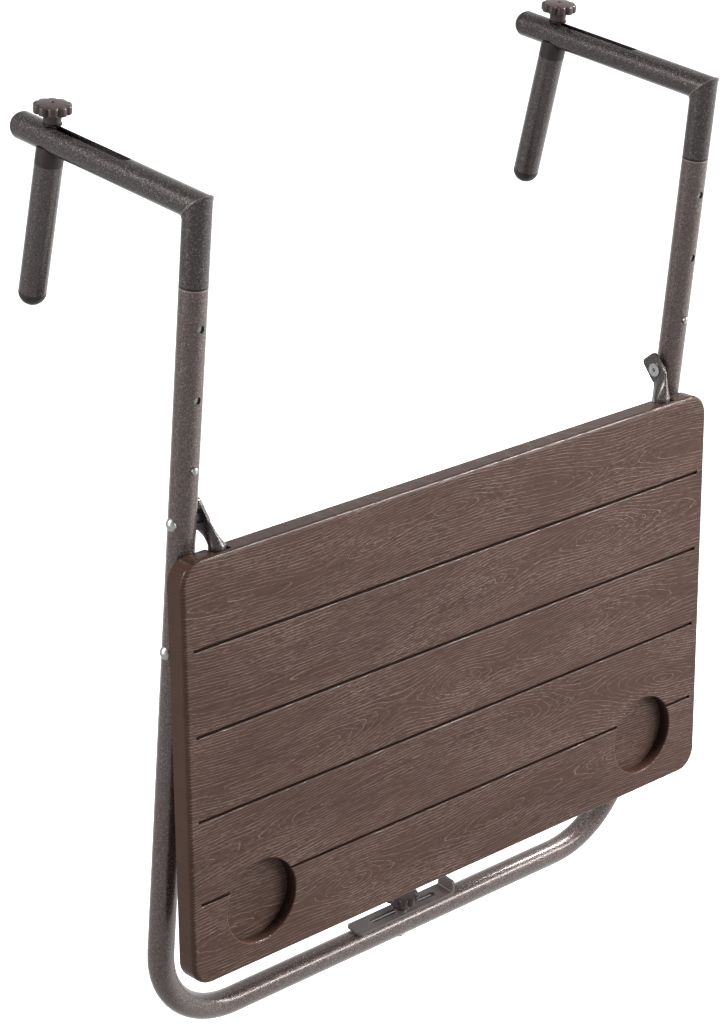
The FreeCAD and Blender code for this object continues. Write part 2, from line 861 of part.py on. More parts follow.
def strap_places():
    """Placements of the straps: two on each side tube and two on the crossbar."""
    square = FreeCAD.Rotation(up, quarter_turn)
    straight = FreeCAD.Rotation()
    places = []
    for side in sides.values():
        for run in (strap_side_run, strap_far_run):
            places.append(FreeCAD.Placement(on_panel(side * bar_x, run, bar_depth), straight))
        places.append(FreeCAD.Placement(on_panel(side * strap_cross_x, crossbar_run, bar_depth), square))
    return places


def strap():
    """One strap around a tube that runs along Y through the origin, under its pad."""
    half = strap_width / 2
    seat = bar_depth - rib_depth
    outer_r = bar_r + strap_t
    front = vector(0, half, 0)
    rear = vector(0, -half, 0)
    reach = bar_r + strap_foot
    wrap = rod(outer_r, rear, front).fuse(block(vector(-outer_r, -half, 0), vector(outer_r, half, seat)))
    feet = block(vector(-reach, -half, seat - strap_t), vector(reach, half, seat))
    inside = rod(bar_r, rear, front).fuse(block(vector(-bar_r, -half, 0), vector(bar_r, half, outer_r)))
    above = block(vector(-reach, -half, seat), vector(reach, half, outer_r + through))
    return wrap.fuse(feet).cut([inside, above] + strap_screws())


def screw(base):
    """Pan-head screw driven up, with the underside of its head on the given point."""
    head_r = screw_head_d / 2
    edges = lines([(0, screw_bite), (screw_d / 2, screw_bite), (screw_d / 2, 0), (head_r, 0)])
    edges.append(line((head_r, 0), (head_r, -screw_head_t / 2)))
    crown = dome_arc(head_r, screw_head_t / 2, screw_head_t / 2)
    crown.rotate(origin, along_x, half_turn)
    edges.append(crown)
    edges.append(line((0, -screw_head_t), (0, screw_bite)))
    return turned(edges, base, up)


def strap_screws():
    offset = bar_r + strap_t + (strap_foot - strap_t) / 2
    level = bar_depth - rib_depth - strap_t
    return [screw(vector(side * offset, 0, level)) for side in sides.values()]


def placed(shape, placement):
    moved = shape.copy()
    moved.Placement = placement.multiply(moved.Placement)
    return moved


def panel_straps():
    return folded(Part.makeCompound([placed(strap(), place) for place in strap_places()]))


def strap_screws_level():
    return [placed(item, place) for place in strap_places() for item in strap_screws()]


# Catches that hold the raised brace's crossbar, open towards the way it comes in.

def mouth_angle():
    """Slope of the crossbar's last movement relative to the panel, from the two pivots."""
    fold_run = pivot_below - catch_depth
    swing_run = (lower_pivot_depth - catch_depth) * swing_ratio
    away = swing_run - fold_run
    down = catch_reach * swing_ratio - catch_reach
    return math.degrees(math.atan2(down, away))


def catch_foot_span():
    back = catch_run - bar_r - catch_gap - catch_wall
    return back - catch_foot_run, back + catch_wall


def brace_catch(side):
    """J-shaped catch: a foot behind, a wall round the crossbar and a lip beneath it."""
    seat_r = bar_r + catch_gap
    outer_r = seat_r + catch_wall
    x = side * catch_x
    wide = catch_width / 2
    centre = on_panel(x, catch_run, catch_depth)
    half = along_x * wide
    first, last = catch_foot_span()
    foot = panel_block(x - wide, x + wide, first, last, rib_depth, rib_depth + catch_foot_t)
    wrap = rod(outer_r, centre - half, centre + half)
    lip = block(vector(-wide, -catch_lip, -outer_r), vector(wide, 0, -seat_r))
    mouth = block(vector(-wide - through, -outer_r * 2, -seat_r), vector(wide + through, 0, outer_r * 2))
    for piece in (lip, mouth):
        piece.rotate(origin, along_x, mouth_angle())
        piece.translate(centre)
    seat = rod(seat_r, centre - half * 2, centre + half * 2)
    pad = panel_block(x - wide * 2, x + wide * 2, 0, panel_depth, -panel_t, rib_depth)
    throat_run = catch_run - seat_r + catch_throat
    roof = panel_block(x - wide * 2, x + wide * 2, throat_run, panel_depth, 0, rib_depth + catch_foot_t)
    return joined([foot, wrap, lip]).cut([seat, mouth, pad, roof] + catch_screws_for(side))


def catch_screws_for(side):
    first, last = catch_foot_span()
    run = first + catch_foot_run / 2
    offset = catch_width / 4
    depth = rib_depth + catch_foot_t
    return [screw(on_panel(side * catch_x + step * offset, run, depth)) for step in (-1, 1)]


def catch_screws_level():
    return [item for side in sides.values() for item in catch_screws_for(side)]


# Wall spacer on the cross tube.

def carriage_bolt():
    """Bolt through the cross tube, its domed head seated on the tube's underside."""
    head_r = bolt_head_d / 2
    rim_z = cross_z - tube_r
    tip = spacer_knob_z + stud_entry - rim_z
    outline = [(0, tip), (bolt_r, tip), (bolt_r, bolt_head_sink), (head_r, bolt_head_sink), (head_r, 0)]
    edges = lines(outline)
    crown = dome_arc(head_r, 0, bolt_head_dome)
    crown.rotate(origin, along_x, half_turn)
    edges.append(crown)
    edges.append(line((0, -bolt_head_dome), (0, tip)))
    body = turned(edges, vector(0, leg_y, rim_z), up)
    reach = along_x * tube_d
    tube = rod(tube_r, vector(0, leg_y, cross_z) - reach, vector(0, leg_y, cross_z) + reach)
    return body.cut(tube.cut(bolt_hole()))


def spacer_plate():
    """Slotted strip with an ear bent up at one end and rounded corners at the other."""
    half = spacer_width / 2
    top = spacer_z + spacer_t + ear_height
    points = [vector(-spacer_back, 0, spacer_z + spacer_t / 2)]
    points.append(vector(spacer_front - spacer_t / 2, 0, spacer_z + spacer_t / 2))
    points.append(vector(spacer_front - spacer_t / 2, 0, top))
    path = rounded_path(points, [ear_bend])
    corners = [(-half, -spacer_t / 2), (half, -spacer_t / 2), (half, spacer_t / 2), (-half, spacer_t / 2)]
    start = vector(-spacer_back, leg_y, spacer_z + spacer_t / 2)
    section = Part.makePolygon([start + vector(0, y, z) for y, z in corners + corners[:1]])
    path.translate(vector(0, leg_y, 0))
    strip = path.makePipeShell([section], True, False)
    tail = [edge for edge in strip.Edges if edge.CenterOfMass.x < near - spacer_back
            and runs_along(edge, up)]
    ear = [edge for edge in strip.Edges if edge.CenterOfMass.z > top - near
           and runs_along(edge, along_x)]
    strip = strip.makeFillet(spacer_corner, tail + ear)
    slot_r = bolt_r + bolt_slot_gap
    near_end = vector(slot_r - slot_back, leg_y, spacer_z)
    far_end = vector(slot_front - slot_r, leg_y, spacer_z)
    return strip.cut(upright_slot(near_end, far_end, slot_r * 2, tube_d))


def spacer_washer():
    base = vector(0, leg_y, spacer_washer_z)
    return ring(spacer_washer_d / 2, bolt_r + bolt_slot_gap, washer_t, base, up)


# Nodes.

def side_nodes(name, x):
    """Nodes of one hook with its height setting, clamping post and knob."""
    knob_base = vector(x, post_y, post_knob_z)
    return {
        name + "_hook": hook(x),
        name + "_hook_sleeve": hook_sleeve(x),
        name + "_hook_cap": hook_cap(x),
        name + "_lock_button": lock_button(x),
        name + "_clip_spring": clip_spring(x),
        name + "_post_tube": post_tube(x),
        name + "_post_saddle": post_saddle(x),
        name + "_post_plug": post_plug(x),
        name + "_post_stud": post_stud(x),
        name + "_post_washer": post_washer(x),
        name + "_post_knob": knob(knob_base, stud_r),
        name + "_knob_insert": knob_insert(knob_base, stud_r),
    }


def all_nodes():
    spacer_knob_base = vector(0, leg_y, spacer_knob_z)
    nodes = {
        "u_frame": u_frame(),
        "upper_rivets": pair(rivet(upper_pivot_z)),
        "lower_rivets": pair(rivet(lower_pivot_z)),
        "upper_spacers": pair(pivot_spacer(upper_pivot_z)),
        "lower_spacers": pair(pivot_spacer(lower_pivot_z)),
        "table_top": table_top(),
        "panel_frame": panel_frame(),
        "panel_straps": panel_straps(),
        "strap_screws": folded(Part.makeCompound(strap_screws_level())),
        "brace_catches": folded(Part.makeCompound([brace_catch(side) for side in sides.values()])),
        "catch_screws": folded(Part.makeCompound(catch_screws_level())),
        "support_brace": support_brace(),
        "spacer_stud": carriage_bolt(),
        "spacer_plate": spacer_plate(),
        "spacer_washer": spacer_washer(),
        "spacer_knob": knob(spacer_knob_base, bolt_r),
        "spacer_knob_insert": knob_insert(spacer_knob_base, bolt_r),
    }
    for name, side in sides.items():
        nodes.update(side_nodes(name, side * leg_x))
    return nodes


os.makedirs("parts", exist_ok=True)
for node_name, node_shape in all_nodes().items():
    node_shape.exportStep("parts/" + node_name + ".step")
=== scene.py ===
import json
import math

import bmesh
import bpy
from bpy.props import FloatProperty, FloatVectorProperty, IntProperty, PointerProperty
from bpy.types import Operator, Panel, PropertyGroup
from mathutils import Matrix, Vector


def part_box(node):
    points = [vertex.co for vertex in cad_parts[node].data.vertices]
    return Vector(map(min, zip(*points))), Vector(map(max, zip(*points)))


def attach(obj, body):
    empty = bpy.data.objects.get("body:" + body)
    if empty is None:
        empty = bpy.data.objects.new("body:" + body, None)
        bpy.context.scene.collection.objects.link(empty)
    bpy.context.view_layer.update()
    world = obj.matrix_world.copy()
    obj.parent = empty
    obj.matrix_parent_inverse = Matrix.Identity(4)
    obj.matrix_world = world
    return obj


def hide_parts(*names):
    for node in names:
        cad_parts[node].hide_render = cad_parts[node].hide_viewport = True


bl_info = {
    "name": "Balcony bar table",
    "version": (1, 0, 0),
    "blender": (4, 5, 0),
    "location": "View3D > Sidebar > Bar table",
    "description": "Dresses the packed bar table with its finishes, small pieces and studio",
    "category": "Object",
}

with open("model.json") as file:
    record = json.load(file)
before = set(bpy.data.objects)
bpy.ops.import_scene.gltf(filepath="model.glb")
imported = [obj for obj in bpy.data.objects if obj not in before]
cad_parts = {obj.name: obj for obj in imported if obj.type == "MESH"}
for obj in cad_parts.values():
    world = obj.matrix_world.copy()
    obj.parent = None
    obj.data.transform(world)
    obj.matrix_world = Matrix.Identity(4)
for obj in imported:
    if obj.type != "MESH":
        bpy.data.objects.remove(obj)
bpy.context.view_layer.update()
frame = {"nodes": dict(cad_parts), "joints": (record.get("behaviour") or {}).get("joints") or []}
cad = frame["nodes"]
fold = next(joint for joint in frame["joints"] if joint["name"] == "panel_fold")
fold_angle = math.radians(fold["range_deg"][1])
fold_pivot = Vector(fold["pos_m"])
level_turn = Matrix.Rotation(-fold_angle, 3, "X")
face_outward = level_turn.inverted() @ Vector((0, 0, 1))

MILLI = 0.001
WHITE = (1.0, 1.0, 1.0, 1.0)
SIDES = ("left", "right")
FULL_TURN = 2 * math.pi


def millimetres(name, description, default):
    """A length property whose default is given in millimetres."""
    return FloatProperty(name=name, description=description, default=default * MILLI, unit="LENGTH",
                         precision=5, min=0)


def colour(name, description, default):
    """A linear colour property."""
    return FloatVectorProperty(name=name, description=description, default=default, subtype="COLOR",
                               size=3, min=0, max=1)


def proportion(name, description, default):
    """A share from 0 to 1."""
    return FloatProperty(name=name, description=description, default=default, subtype="FACTOR",
                         min=0, max=1)


def amount(name, description, default):
    """A plain number that isn't negative."""
    return FloatProperty(name=name, description=description, default=default, min=0)


class TubeFinish(PropertyGroup):
    """Hammered coat of the steel tubes."""
    dark: colour("Coat", "Colour of the coat in its dimples", (0.0165, 0.0105, 0.0098))
    light: colour("Flake", "Colour of the metal flake on the raised parts", (0.205, 0.159, 0.150))
    hook: colour("Hook tone", "Tone of the hooks against the legs", (0.45, 0.49, 0.50))
    post: colour("Post tone", "Tone of the clamping posts against the legs", (0.62, 0.68, 0.69))
    small: colour("Small tube tone", "Tone of the sub-frame and brace against the legs",
                  (0.70, 0.76, 0.76))
    dimple: millimetres("Dimple size", "Distance between the coat's dimples", 0.8)
    depth: millimetres("Dimple depth", "Height of the hammered relief", 0.06)
    # Glint and hook glint set how much lighter the flakes painted as glints are.
    glint: amount("Glint", "How much lighter the brightest flakes are than the others", 2.4)
    hook_glint: amount("Hook glint", "How much lighter the brightest flakes of the hooks are", 4.5)
    gloss: proportion("Roughness", "Roughness of the coat", 0.30)
    metal: proportion("Metal", "Share of metal in the coat", 0.55)
    lacquer: proportion("Lacquer", "Weight of the clear lacquer over the coat", 0.80)
    lacquer_gloss: proportion("Lacquer roughness", "Roughness of the clear lacquer", 0.14)
    strip: colour("Strip coat", "Colour of the smooth coat on the flat strips",
                  (0.150, 0.125, 0.118))
    strip_gloss: proportion("Strip roughness", "Roughness of the smooth coat", 0.42)


class TopFinish(PropertyGroup):
    """Embossed wood grain of the moulded top."""
    base: colour("Plastic", "Colour of the moulded plastic", (0.090, 0.0465, 0.0335))
    # The grain lines are painted lighter, as sheen on their ridges.
    ridge: colour("Grain lines", "Colour of the sheened grain lines", (0.315, 0.222, 0.184))
    # A third of the dark grain colour is the painted shade in the grooves and cup recesses.
    shade: colour("Dark grain", "Colour of the deeper grain", (0.042, 0.021, 0.015))
    side: colour("Rim", "Colour of the smoother rim", (0.074, 0.037, 0.026))
    plank: millimetres("Plank width", "Width of one plank of the top", 80.8)
    planks: IntProperty(name="Planks", description="Number of planks in the top", default=5, min=1)
    rear: millimetres("Rear edge", "Distance from the fold's pivots to the top's rear edge", 26.7)
    below: millimetres("Face height", "Height of the level top's face over the fold's pivots", 28.4)
    half: millimetres("Half width", "Distance from the middle to the top's sides", 332.0)
    pitch: millimetres("Grain pitch", "Distance between grain lines", 2.7)
    slope: amount("Grain slope", "Slope of the grain where its lines close", 0.25)
    dip: millimetres("Grain dip", "Range over which the grain's middle rises and falls", 100.0)
    depth: millimetres("Grain depth", "Height of the embossed grain", 0.35)
    gloss: proportion("Roughness", "Roughness of the face", 0.54)
    specular: proportion("Specular", "Strength of the face's reflections", 0.25)


class PlasticFinish(PropertyGroup):
    """Moulded plastic fittings."""
    black: colour("Black plastic", "Colour of the brace's catches", (0.012, 0.011, 0.011))
    knob: colour("Knob plastic", "Colour of the hand knobs", (0.046, 0.0320, 0.0300))
    brown: colour("Brown plastic", "Colour of the saddles and end plugs", (0.022, 0.0165, 0.0145))
    bush: colour("Bush plastic", "Colour of the pivot bushes", (0.020, 0.020, 0.021))


class SteelFinish(PropertyGroup):
    """Bare and plated steel and brass."""
    bright: colour("Plated steel", "Colour of rivets, buttons and screws", (0.80, 0.79, 0.78))
    sleeve: colour("Sleeve steel", "Colour of the galvanised inner tubes", (0.42, 0.42, 0.42))
    dark: colour("Blackened steel", "Colour of the post washers", (0.060, 0.052, 0.050))
    brass: colour("Brass", "Colour of the threaded inserts", (0.62, 0.44, 0.16))
    thread: millimetres("Thread pitch", "Distance between the turns of a thread", 1.25)


class KnobSizes(PropertyGroup):
    """Lobed hand knobs."""
    lobes: IntProperty(name="Lobes", description="Number of lobes round the knob", default=10,
                       min=3)
    rim: millimetres("Rim height", "Height of the lobed rim", 7.5)
    crown: millimetres("Crown", "Rise of the domed top over the rim", 1.3)
    flute: millimetres("Flute depth", "Depth of the grooves between the lobes", 2.4)
    dimple: millimetres("Dimple radius", "Radius of the mould mark in the middle", 2.5)
    core: millimetres("Core radius", "Radius of the hollow under the rim", 13.4)
    core_depth: millimetres("Core depth", "Depth of the hollow under the rim", 4.5)
    neck: millimetres("Hub neck", "Radius of the hub where it meets the rim", 8.2)
    foot: millimetres("Hub foot", "Radius of the hub's foot", 7.6)
    insert: millimetres("Insert radius", "Radius of the bore for the threaded insert", 6.0)
    insert_depth: millimetres("Insert depth", "Depth of the bore for the threaded insert", 9.0)
    blind: millimetres("Blind depth", "Depth of the hole for the stud's end", 14.0)
    blind_radius: millimetres("Blind radius", "Radius of the hole for the stud's end", 4.3)


class ScrewSizes(PropertyGroup):
    """Cross recesses in the pan-head screws."""
    slot: millimetres("Recess width", "Width of one arm of the cross recess", 0.9)
    span: millimetres("Recess span", "Length of the cross recess", 4.0)
    deep: millimetres("Recess depth", "Depth of the cross recess", 1.3)


class StageSettings(PropertyGroup):
    """Studio, lights and camera."""
    floor_z: FloatProperty(name="Floor height", default=-1.1, unit="LENGTH",
                           description="Height of the floor over the rail's top")
    floor: colour("Floor", "Colour of the studio floor", (0.86, 0.86, 0.86))
    glow: amount("Floor glow", "Strength of the lit floor", 0.9)
    horizon: amount("Backdrop", "Strength of the light from behind", 1.0)
    zenith: amount("Ceiling", "Strength of the light from above", 0.50)
    room: amount("Room", "Strength of the light from the sides and the front", 0.45)
    key: amount("Key light", "Power of the large soft light", 92.0)
    rim: amount("Rim light", "Power of the slim light in front", 42.0)
    fill: amount("Fill lights", "Power of the lights on the left", 20.0)
    strip: amount("Overhead light", "Power of the overhead light", 95.0)
    lens: FloatProperty(name="Lens", description="Focal length of the camera in millimetres",
                        default=102.95, min=1)


class TableSettings(PropertyGroup):
    """All settings of the bar table."""
    tube: PointerProperty(type=TubeFinish)
    top: PointerProperty(type=TopFinish)
    plastic: PointerProperty(type=PlasticFinish)
    steel: PointerProperty(type=SteelFinish)
    knob: PointerProperty(type=KnobSizes)
    screw: PointerProperty(type=ScrewSizes)
    stage: PointerProperty(type=StageSettings)


# Materials.

def rgba(value):
    """Colour as a socket takes it."""
    return (value[0], value[1], value[2], 1.0)


def scaled(value, times):
    """Lighter or darker colour as a socket takes it."""
    return rgba([min(part * times, 1) for part in value])


def empty_material(name):
    """Material with one Principled shader, its tree and that shader."""
    material = bpy.data.materials.new(name)
    material.use_nodes = True
    tree = material.node_tree
    return material, tree, tree.nodes["Principled BSDF"]


def add(tree, kind, inputs=(), **options):
    """Node with its options, and its inputs given as names or numbers with values or sockets."""
    made = tree.nodes.new(kind)
    for key, value in options.items():
        setattr(made, key, value)
    for key, value in dict(inputs).items():
        if isinstance(value, bpy.types.NodeSocket):
            tree.links.new(value, made.inputs[key])
        else:
            made.inputs[key].default_value = value
    return made


def maths(tree, operation, *values):
    """Result of a Math node."""
    return add(tree, "ShaderNodeMath", enumerate(values), operation=operation).outputs[0]


def product(tree, first, *others):
    """Product of two or more values."""
    for other in others:
        first = maths(tree, "MULTIPLY", first, other)
    return first


def hypotenuse(tree, one, other):
    """Distance over two lengths at right angles."""
    squares = product(tree, one, one), product(tree, other, other)
    return maths(tree, "SQRT", maths(tree, "ADD", *squares))


def along(tree, vector, direction):
    """Length of a vector along a direction."""
    return add(tree, "ShaderNodeVectorMath", {0: vector, 1: direction},
               operation="DOT_PRODUCT").outputs["Value"]


def object_point(tree):
    """Object coordinates."""
    return add(tree, "ShaderNodeTexCoord").outputs["Object"]


def stretched(tree, point, scale, rotation=(0, 0, 0), location=(0, 0, 0)):
    """Point after a Mapping node."""
    inputs = {"Vector": point, "Scale": scale, "Rotation": rotation, "Location": location}
    return add(tree, "ShaderNodeMapping", inputs).outputs["Vector"]


def noise(tree, point, scale, detail, roughness=0.5):
    """Strength of a noise texture."""
    inputs = {"Vector": point, "Scale": scale, "Detail": detail, "Roughness": roughness}
    return add(tree, "ShaderNodeTexNoise", inputs).outputs["Fac"]


def ramp(tree, value, stops):
    """Colour ramp through (place, colour) stops."""
    made = add(tree, "ShaderNodeValToRGB", {"Fac": value})
    elements = made.color_ramp.elements
    while len(elements) < len(stops):
        elements.new(0.5)
    for element, (place, shade) in zip(elements, stops):
        element.position = place
        element.color = rgba(shade)
    return made.outputs["Color"]


def share(tree, value, low, high, to_low=0.0, to_high=1.0):
    """Value mapped from one range to another, and clamped."""
    inputs = {"Value": value, "From Min": low, "From Max": high,
              "To Min": to_low, "To Max": to_high}
    return add(tree, "ShaderNodeMapRange", inputs, clamp=True).outputs["Result"]


def blended(tree, factor, first, second):
    """Mix of two colours."""
    made = add(tree, "ShaderNodeMix", data_type="RGBA")
    for place, value in ((0, factor), (6, first), (7, second)):
        socket = made.inputs[place]
        if isinstance(value, bpy.types.NodeSocket):
            tree.links.new(value, socket)
        else:
            socket.default_value = value
    return made.outputs[2]


def rising(tree, value, span):
    """0 under and 1 over a span of millimetres."""
    return share(tree, value, span[0] * MILLI, span[1] * MILLI)


def falling(tree, value, span):
    """1 under and 0 over a span of millimetres."""
    return share(tree, value, span[0] * MILLI, span[1] * MILLI, 1.0, 0.0)


def relief(tree, shader, height, depth):
    """Bump of a shader from a height between 0 and 1."""
    bump = add(tree, "ShaderNodeBump", {"Height": height, "Distance": depth, "Strength": 1.0})
    tree.links.new(bump.outputs["Normal"], shader.inputs["Normal"])


def painted_joint_light(tree, point, coat, dark, light, cut_end, lip, corner):
    """Coat with painted light at the joints of the tubes, as far as they are given.

    It has painted shade just over a cut end and a painted highlight just under a lip, both of them
    heights, and a painted highlight on the weld of a mitre whose outer corner is given.
    """
    upright = add(tree, "ShaderNodeSeparateXYZ", {"Vector": point}).outputs["Z"]
    if cut_end is not None:
        # Painted shade in the gap just over the cut end.
        over = share(tree, upright, cut_end + 0.9 * MILLI, cut_end + 2.0 * MILLI)
        coat = blended(tree, over, scaled(dark, 1 / 6), coat)
    if lip is not None:
        # Painted highlight just under the lip.
        under = share(tree, upright, lip - 1.6 * MILLI, lip - 0.5 * MILLI, 0.0, 0.6)
        coat = blended(tree, under, coat, scaled(light, 2.4))
    if corner is not None:
        # Painted highlight along the mitre's weld.
        across = Vector((0, 1, 1)).normalized()
        off = maths(tree, "SUBTRACT", along(tree, point, across), corner.dot(across))
        weld = share(tree, maths(tree, "ABSOLUTE", off), 0.5 * MILLI, 1.1 * MILLI, 0.35, 0.0)
        coat = blended(tree, weld, coat, scaled(light, 4))
    return coat


def dimples(tree, point, size):
    """Height of the dimples, and a chance for each of them.

    They are cells whose borders wobble, with a finer noise over them.
    """
    warp = add(tree, "ShaderNodeTexNoise", {"Vector": point, "Scale": 0.5 / size, "Detail": 2.0})
    wobble = add(tree, "ShaderNodeVectorMath", {0: warp.outputs["Color"], "Scale": size * 1.4},
                 operation="SCALE")
    shifted = add(tree, "ShaderNodeVectorMath", {0: point, 1: wobble.outputs[0]}, operation="ADD")
    cell = {"Vector": shifted.outputs[0], "Scale": 1 / size}
    cells = add(tree, "ShaderNodeTexVoronoi", cell).outputs
    chance = add(tree, "ShaderNodeTexWhiteNoise", {"Vector": cells["Position"]}).outputs["Value"]
    fine = noise(tree, point, 2.2 / size, 3.0, 0.65)
    height = maths(tree, "ADD", product(tree, cells["Distance"], 0.8), product(tree, fine, 0.7))
    return height, chance


def hammered_coat(name, finish, tone=(1.0, 1.0, 1.0), glint=None, cut_end=None, lip=None,
                  corner=None):
    """Hammered metallic coat: dark dimples, lighter flake on the raised parts, painted glints on a
    few flakes, and painted shade and highlights at the joints.
    """
    material, tree, shader = empty_material(name)
    point = object_point(tree)
    dark, light = (tuple(part * weight for part, weight in zip(colours, tone))
                   for colours in (finish.dark, finish.light))
    middle = tuple((one + other) / 3 for one, other in zip(light, dark))
    height, fleck = dimples(tree, point, finish.dimple)
    tint = ramp(tree, height, [(0.30, dark), (0.62, middle), (0.92, light)])
    # A few flakes are painted much lighter as glints.
    spark = share(tree, fleck, 0.82, 1.0, 0.0, 0.5)
    sparkled = blended(tree, spark, tint, scaled(light, glint or finish.glint))
    coat = painted_joint_light(tree, point, sparkled, dark, light, cut_end, lip, corner)
    tree.links.new(coat, shader.inputs["Base Color"])
    shader.inputs["Metallic"].default_value = finish.metal
    shader.inputs["Coat Weight"].default_value = finish.lacquer
    shader.inputs["Coat Roughness"].default_value = finish.lacquer_gloss
    gloss = share(tree, fleck, 0.0, 1.0, finish.gloss - 0.08, finish.gloss + 0.14)
    tree.links.new(gloss, shader.inputs["Roughness"])
    relief(tree, shader, height, finish.depth)
    return material


class WoodGrain:
    """Places on the level top and the grain that runs along its planks, as values of nodes."""

    # Scale along, across and into a plank, detail and roughness of each noise.
    NOISES = {
        "drift": ((1.9, 0.0, 0.0), 1.0, 0.5),
        "dip": ((3.8, 1.5, 1.5), 1.0, 0.5),
        "wander": ((14.0, 60.0, 60.0), 1.0, 0.5),
        "ripple": ((38.0, 130.0, 60.0), 1.0, 0.5),
        "breaks": ((55.0, 420.0, 60.0), 3.0, 0.7),
        "pores": ((130.0, 1100.0, 1100.0), 1.0, 0.5),
        "patches": ((9.0, 30.0, 30.0), 2.0, 0.5),
        "fibre": ((34.0, 700.0, 700.0), 3.0, 0.65),
        "clouds": ((4.0, 12.0, 12.0), 2.0, 0.5),
    }
    # Longest distance between the parts of the grain that two planks show.
    PLANK_SHIFT = 7.0

    # Millimetres over which the parts of the top begin or end: depths under the face, then
    # distances from the middle of a groove and from the top's outline.
    GROOVE_TOP, GROOVE_FLOOR, CUP_WALL = (0.9, 1.9), (2.8, 3.4), (1.5, 7.0)
    GROOVE_SIDE = (1.4, 2.2)
    # REAR_EDGE is the span of the painted shade along the rear edge.
    RIM, REAR_EDGE = (9.0, 9.5), (1.0, 4.0)

    def __init__(self, tree, finish):
        self.tree, self.finish = tree, finish
        shift = fold_pivot - level_turn @ fold_pivot
        level = stretched(tree, object_point(tree), (1, 1, 1), (-fold_angle, 0, 0), shift)
        self.x, back, upright = add(tree, "ShaderNodeSeparateXYZ", {"Vector": level}).outputs
        self.run = maths(tree, "SUBTRACT", fold_pivot.y - finish.rear, back)
        self.below = maths(tree, "SUBTRACT", fold_pivot.z + finish.below, upright)
        self.plank = maths(tree, "FLOOR", maths(tree, "DIVIDE", self.run, finish.plank))
        chance = add(tree, "ShaderNodeTexWhiteNoise", {"W": self.plank}, noise_dimensions="1D")
        moved = maths(tree, "ADD", self.x, product(tree, chance.outputs["Value"], self.PLANK_SHIFT))
        place = {"X": moved, "Y": self.run, "Z": upright}
        self.place = add(tree, "ShaderNodeCombineXYZ", place).outputs["Vector"]

        # The flank is 1 where the surface turns away from the way the face looks.
        self.facing = along(tree, add(tree, "ShaderNodeTexCoord").outputs["Normal"], face_outward)
        self.flank = share(tree, self.facing, 0.60, 0.96, 1.0, 0.0)

    def noise(self, name):
        """One of the noises above."""
        scale, detail, roughness = self.NOISES[name]
        return noise(self.tree, stretched(self.tree, self.place, scale), 1.0, detail, roughness)

    def lines(self):
        """Broken lines of the rings round a log whose axis wanders along the plank and dips."""
        tree, finish = self.tree, self.finish
        middle = product(tree, maths(tree, "ADD", self.plank, 0.5), finish.plank)
        drift = product(tree, maths(tree, "SUBTRACT", self.noise("drift"), 0.5), finish.plank * 1.4)
        across = maths(tree, "SUBTRACT", maths(tree, "SUBTRACT", self.run, middle), drift)
        deep = product(tree, maths(tree, "SUBTRACT", self.noise("dip"), 0.5), finish.dip)
        radius = hypotenuse(tree, across, deep)
        wander = maths(tree, "ADD", product(tree, self.noise("wander"), 1.5),
                       product(tree, self.noise("ripple"), 0.6))
        rings = maths(tree, "ADD", maths(tree, "DIVIDE", radius, finish.pitch), wander)
        ridge = product(tree, maths(tree, "PINGPONG", rings, 0.5), 2.0)

        # Lines are finer where the rings lie flat under the face and come out far apart.
        rise = hypotenuse(tree, across, product(tree, deep, finish.slope))
        steep = maths(tree, "DIVIDE", rise, maths(tree, "MAXIMUM", radius, MILLI))
        fine = maths(tree, "MAXIMUM", steep, 0.22)
        foot = maths(tree, "SUBTRACT", 1.0, product(tree, fine, 0.34))
        crest = maths(tree, "SUBTRACT", 1.0, product(tree, fine, 0.08))
        thin = share(tree, ridge, foot, crest)
        broken = share(tree, self.noise("breaks"), 0.40, 0.56, 0.12, 1.0)
        patchy = share(tree, self.noise("patches"), 0.35, 0.70)
        lined = product(tree, thin, share(tree, patchy, 0.0, 1.0, 0.5, 1.0), broken)
        pores = product(tree, share(tree, self.noise("pores"), 0.56, 0.68), 0.6, patchy)
        underside = share(tree, self.facing, -0.7, -0.4, 0.15, 1.0)
        return product(tree, maths(tree, "MAXIMUM", lined, pores), underside)

    def inner(self):
        """1 on the part of the face that the rim goes round."""
        tree, centre = self.tree, self.finish.plank * self.finish.planks / 2
        off_centre = maths(tree, "ABSOLUTE", maths(tree, "SUBTRACT", self.run, centre))
        inset = maths(tree, "SUBTRACT", self.finish.half, maths(tree, "ABSOLUTE", self.x))
        length = maths(tree, "SUBTRACT", centre, off_centre)
        return rising(tree, maths(tree, "MINIMUM", inset, length), self.RIM)

    def grooves(self, inner):
        """1 in the grooves between the planks."""
        tree, width = self.tree, self.finish.plank
        sunk = product(tree, rising(tree, self.below, self.GROOVE_TOP),
                       falling(tree, self.below, self.GROOVE_FLOOR))
        seam = maths(tree, "PINGPONG", maths(tree, "SUBTRACT", self.run, width), width / 2)
        return product(tree, sunk, falling(tree, seam, self.GROOVE_SIDE), inner)

    def cup_walls(self, inner):
        """1 towards the foot of the walls of the cup recesses, where painted shade goes."""
        return product(self.tree, rising(self.tree, self.below, self.CUP_WALL), inner, self.flank)


